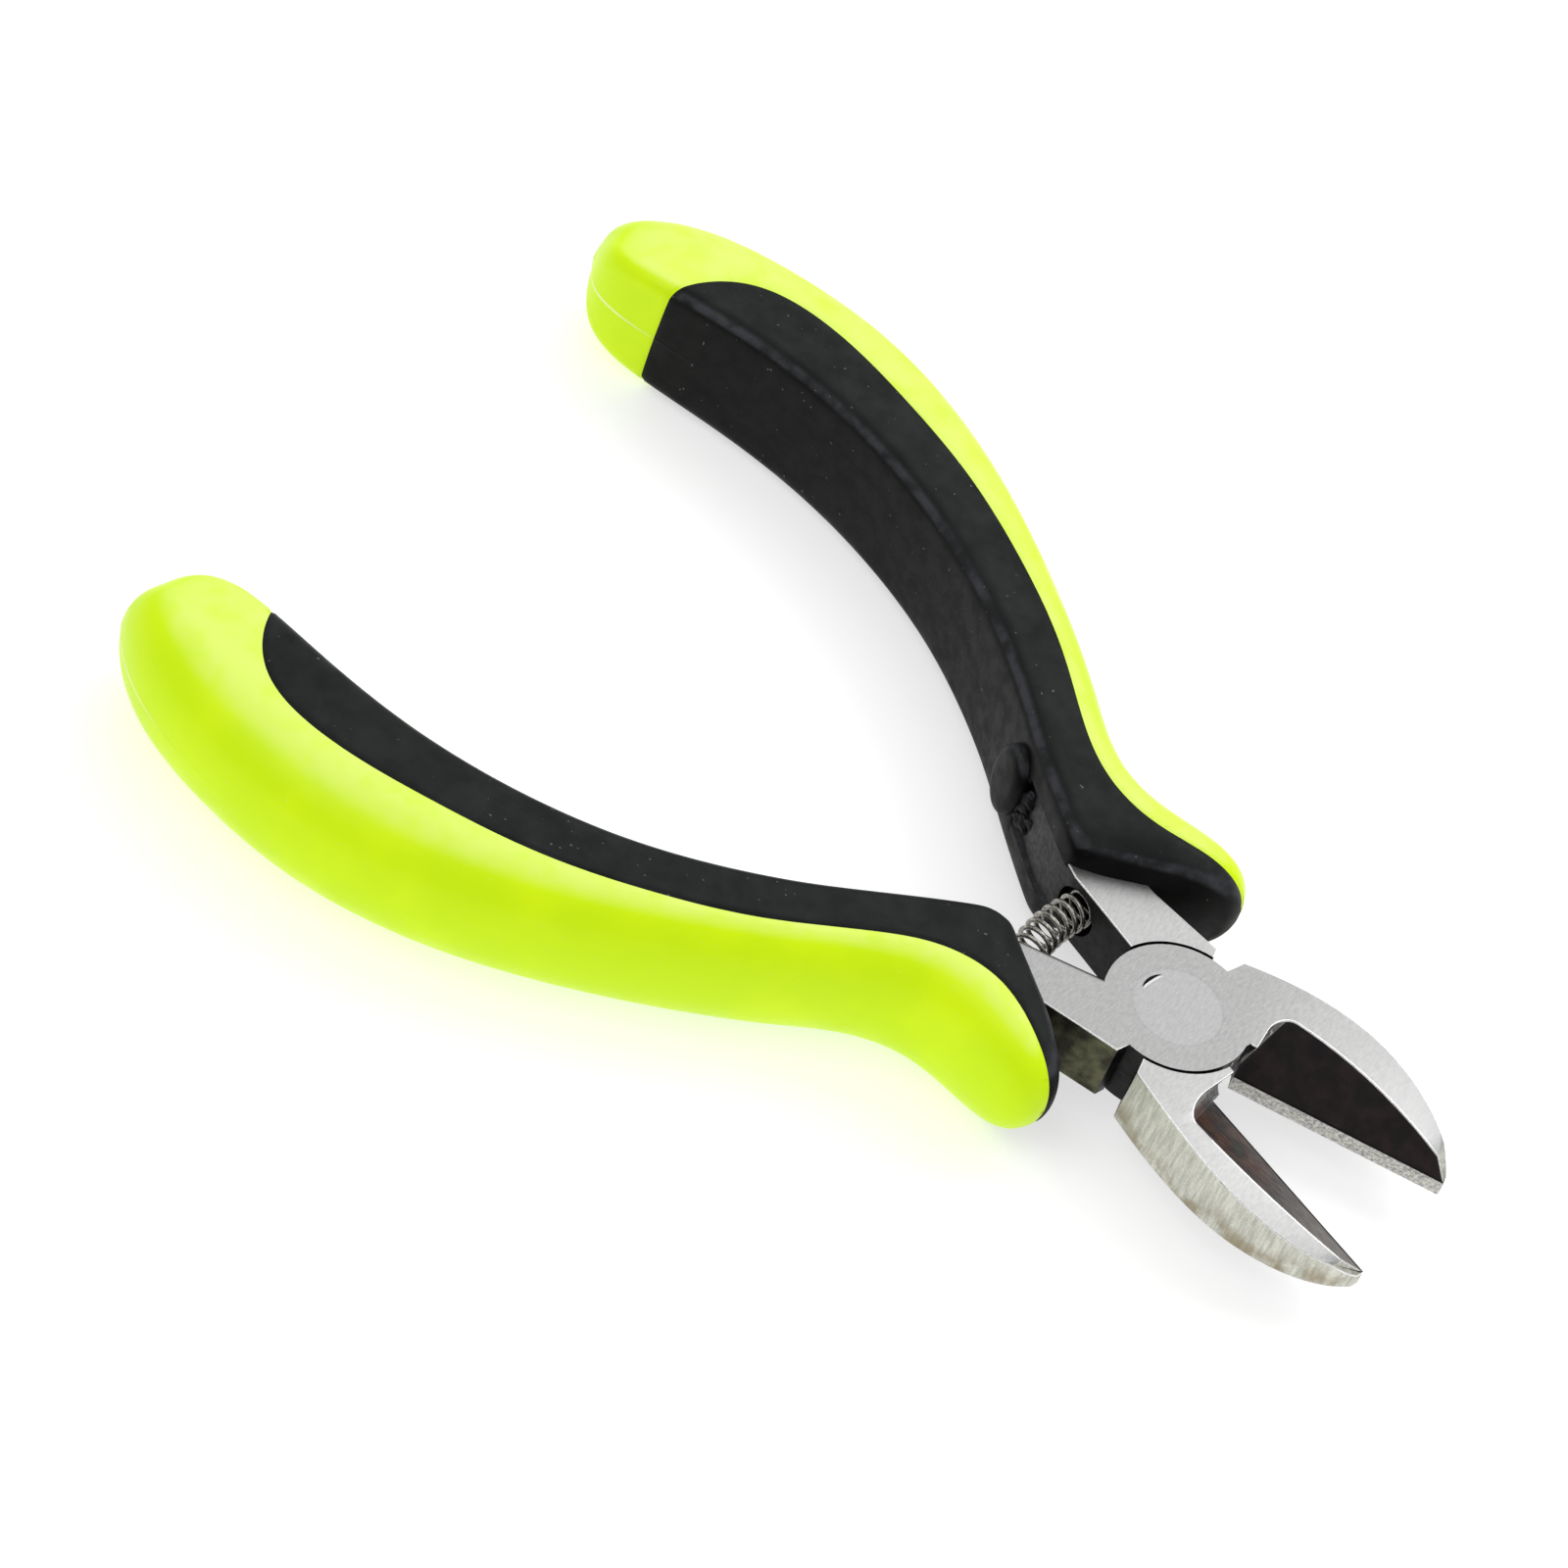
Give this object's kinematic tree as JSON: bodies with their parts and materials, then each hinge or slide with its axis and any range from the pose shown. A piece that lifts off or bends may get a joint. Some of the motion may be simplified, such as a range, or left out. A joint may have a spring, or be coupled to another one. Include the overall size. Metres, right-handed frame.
{
  "type": "flush cut pliers",
  "caption": "Small riveted lap-joint cutter with flush ground jaws, a coil return spring between the tangs and two-colour moulded grips with finger guards",
  "frame": {"origin": "on the pivot axis, at the flush back face of the head", "axes": "+X along the bisector of the jaws toward their tips, +Z along the pivot axis from the back face to the front face, +Y toward the upper half's jaw; the model stands relaxed, 28 degrees open"},
  "size_m": [0.1136, 0.0852, 0.0134],
  "materials": {
    "ground_steel": "ground flat, fine cross grain",
    "rivet_steel": "ground flush with the head",
    "spring_steel": "drawn wire, bright",
    "lime_plastic": "satin moulded",
    "black_rubber": "satin soft moulding"
  },
  "bodies": {
    "lower_half": {"lower_jaw_half": "ground_steel", "pivot_rivet": "rivet_steel", "return_spring": "spring_steel", "lower_grip_shell": "lime_plastic", "lower_grip_liner": "black_rubber"},
    "upper_half": {"upper_jaw_half": "ground_steel", "upper_grip_shell": "lime_plastic", "upper_grip_liner": "black_rubber"}
  },
  "joints": [
    {"name": "pivot", "type": "hinge", "parent": "lower_half", "child": "upper_half", "pos_m": [0, 0, 0.0032], "axis": [0, 0, 1], "range_deg": [-28, 13], "stiffness_Nm_per_rad": 0.18, "deforming": ["return_spring"]}
  ]
}
